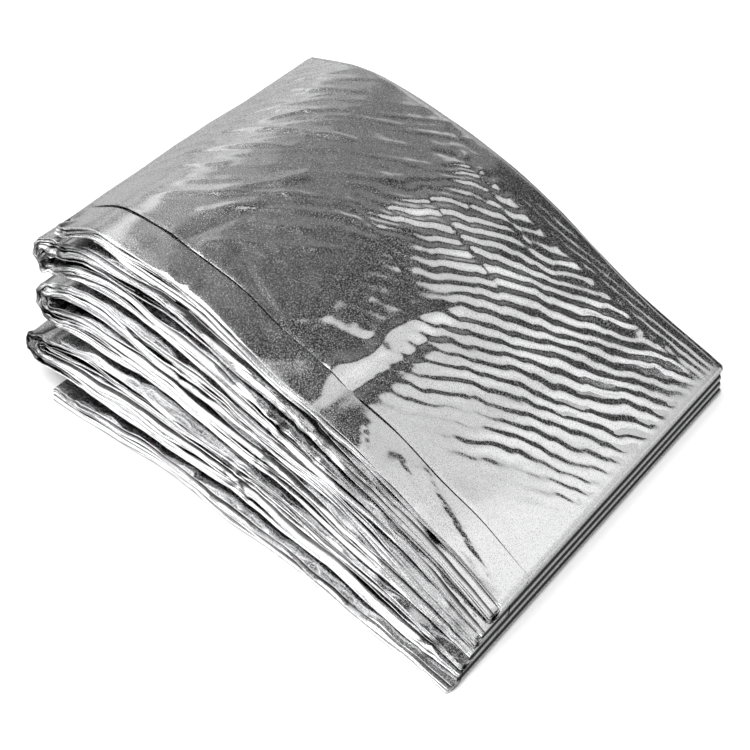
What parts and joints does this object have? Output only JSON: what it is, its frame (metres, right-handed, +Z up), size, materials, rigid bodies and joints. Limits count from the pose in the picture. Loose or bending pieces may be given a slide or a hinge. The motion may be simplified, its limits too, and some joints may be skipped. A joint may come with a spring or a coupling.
{
  "type": "folded emergency foil blanket",
  "caption": "Silver metallised film blanket, pleated and folded back and forth into a packet that is pressed thin at one end and springs open like a fan at the other.",
  "frame": {"origin": "centre of the footprint's bounding box, on the surface that the packet lies on", "axes": "+X along the strip towards the closed end where the turns are pressed thin, -X to the end that springs open, -Y to the stepped pleat edges, +Z up"},
  "size_m": [0.1744, 0.1378, 0.0607],
  "materials": {
    "foil": "crinkled metallised film, mirror bright with fine grain"
  },
  "bodies": {
    "root": {"blanket": "foil"}
  },
  "joints": []
}
